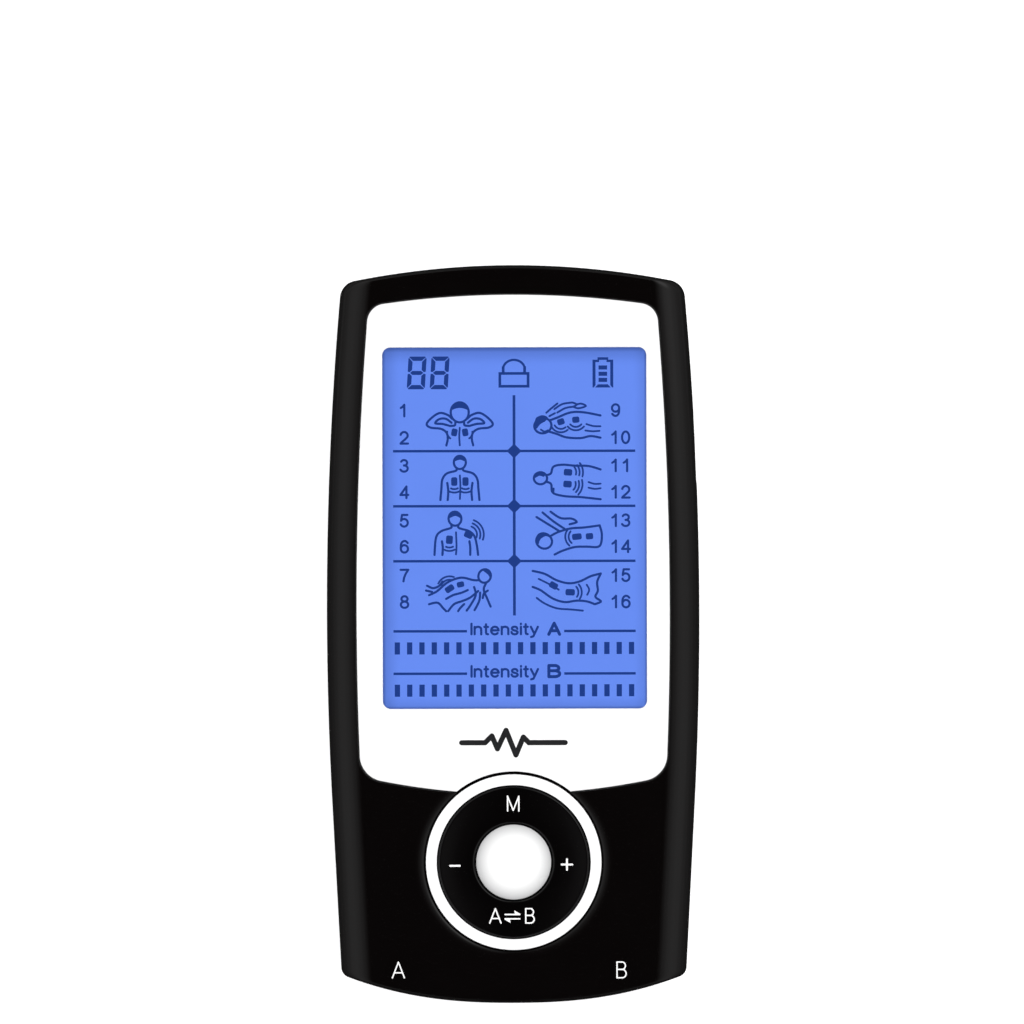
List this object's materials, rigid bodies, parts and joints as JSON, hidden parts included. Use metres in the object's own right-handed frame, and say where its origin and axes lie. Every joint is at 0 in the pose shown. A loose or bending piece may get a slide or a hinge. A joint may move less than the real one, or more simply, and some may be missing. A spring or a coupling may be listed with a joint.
{
  "type": "hand-held nerve stimulator",
  "caption": "Slim hand-held TENS unit with a backlit display, a rocking control ring around a push button, two lead sockets, a charging socket and a slide switch.",
  "frame": {"origin": "on the flat rear face, at the middle of the unit's length and width", "axes": "+Z out of the display, +Y along the unit towards its top end, +X to the display's right"},
  "size_m": [0.0606, 0.12, 0.0122],
  "materials": {
    "casing_black": "polished black ABS",
    "rear_black": "fine-textured black ABS",
    "panel_white": "polished white",
    "button_white": "polished white",
    "ring_black": "polished black with printed white symbols",
    "knob_black": "ribbed black",
    "lens_clear": "clear acrylic",
    "gasket_foam": "black foam",
    "cushion_silicone": "translucent grey silicone",
    "lcd_glass": "clear glass with printed segments",
    "lcd_rear": "blue backlit field",
    "lcd_holder": "natural white",
    "elastomer_strip": "striped conductive elastomer",
    "light_guide": "clear with white dots",
    "led_yellow": "phosphor dome",
    "board_green": "solder mask",
    "steel": "nickel plated",
    "brass": "plated",
    "switch_black": "moulded black",
    "plunger_red": "moulded",
    "foam_pad": "double-sided foam tape",
    "cell_foil": "foil pouch",
    "wire_red": "insulation",
    "wire_black": "insulation",
    "nylon_white": "natural nylon",
    "ferrite": "sintered ferrite",
    "copper_coil": "enamelled copper winding",
    "chip_black": "moulded package",
    "can_aluminium": "bare can",
    "label_grey": "blank satin label"
  },
  "bodies": {
    "housing": {"front_shell": "casing_black", "rear_cover": "rear_black", "rating_label": "label_grey", "face_panel": "panel_white", "display_lens": "lens_clear", "display_gasket": "gasket_foam", "trim_ring": "panel_white", "lcd_front_glass": "lcd_glass", "lcd_rear_glass": "lcd_rear", "lcd_frame": "lcd_holder", "lcd_connector_strip": "elastomer_strip", "backlight_guide": "light_guide", "backlight_led_left": "led_yellow", "backlight_led_right": "led_yellow", "main_board": "board_green", "slide_switch_case": "steel", "output_jack_a": "switch_black", "output_jack_b": "switch_black", "jack_contact_a": "brass", "jack_contact_b": "brass", "usb_shell": "steel", "usb_insert": "switch_black", "battery_pad": "foam_pad", "battery_cell": "cell_foil", "battery_board": "board_green", "battery_lead_red": "wire_red", "battery_lead_black": "wire_black", "battery_socket": "nylon_white", "battery_plug": "nylon_white", "transformer_a_core": "ferrite", "transformer_b_core": "ferrite", "transformer_a_coil": "copper_coil", "transformer_b_coil": "copper_coil", "controller_chip": "chip_black", "driver_chip": "chip_black", "boost_inductor": "ferrite", "filter_capacitor_a": "can_aluminium", "filter_capacitor_b": "can_aluminium", "buzzer": "chip_black", "tact_switch_mode": "switch_black", "tact_switch_channel": "switch_black", "tact_switch_plus": "switch_black", "tact_switch_minus": "switch_black", "tact_switch_start": "switch_black", "case_screw_1": "steel", "case_screw_2": "steel", "case_screw_3": "steel", "case_screw_4": "steel", "board_screw_left": "steel", "board_screw_right": "steel"},
    "key_cushion": {"key_cushion": "cushion_silicone"},
    "control_ring": {"control_ring": "ring_black"},
    "center_button": {"center_button": "button_white"},
    "power_knob": {"power_knob": "knob_black", "slide_switch_lever": "switch_black"},
    "plunger_mode": {"plunger_mode": "plunger_red"},
    "plunger_channel": {"plunger_channel": "plunger_red"},
    "plunger_plus": {"plunger_plus": "plunger_red"},
    "plunger_minus": {"plunger_minus": "plunger_red"},
    "plunger_start": {"plunger_start": "plunger_red"}
  },
  "joints": [
    {"name": "plunger_mode_travel", "type": "slide", "parent": "housing", "child": "plunger_mode", "axis": [0, 0, 1], "range_m": [-0.00025, 0.00025]},
    {"name": "mode_channel_rock", "type": "hinge", "parent": "housing", "child": "key_cushion", "pos_m": [0, -0.037, 0.0092], "axis": [1, 0, 0], "range_deg": [-1.5, 1.5], "stiffness_Nm_per_rad": 0.14},
    {"name": "plunger_channel_travel", "type": "slide", "parent": "housing", "child": "plunger_channel", "axis": [0, 0, 1], "range_m": [-0.00026, 0.00026]},
    {"name": "plunger_plus_travel", "type": "slide", "parent": "housing", "child": "plunger_plus", "axis": [0, 0, 1], "range_m": [-0.00025, 0.00025]},
    {"name": "plus_minus_rock", "type": "hinge", "parent": "key_cushion", "child": "control_ring", "pos_m": [0, -0.037, 0.0092], "axis": [0, 1, 0], "range_deg": [-1.5, 1.5], "stiffness_Nm_per_rad": 0.14},
    {"name": "plunger_minus_travel", "type": "slide", "parent": "housing", "child": "plunger_minus", "axis": [0, 0, 1], "range_m": [-0.00026, 0.00026]},
    {"name": "center_button_press", "type": "slide", "parent": "housing", "child": "center_button", "axis": [0, 0, 1], "range_m": [-0.0003, 0], "stiffness_N_per_m": 1500},
    {"name": "plunger_start_travel", "type": "slide", "parent": "housing", "child": "plunger_start", "axis": [0, 0, 1], "range_m": [-0.00031, 0]},
    {"name": "power_knob_slide", "type": "slide", "parent": "housing", "child": "power_knob", "axis": [0, 1, 0], "range_m": [-0.002, 0.002]}
  ],
  "couplings": [
    {"joint": "mode_channel_rock", "follows": "plunger_mode_travel", "rad_per_m": 104.17},
    {"joint": "plunger_channel_travel", "follows": "plunger_mode_travel", "ratio": -1},
    {"joint": "plus_minus_rock", "follows": "plunger_plus_travel", "rad_per_m": -104.17},
    {"joint": "plunger_minus_travel", "follows": "plunger_plus_travel", "ratio": -1},
    {"joint": "plunger_start_travel", "follows": "center_button_press", "ratio": 1}
  ]
}
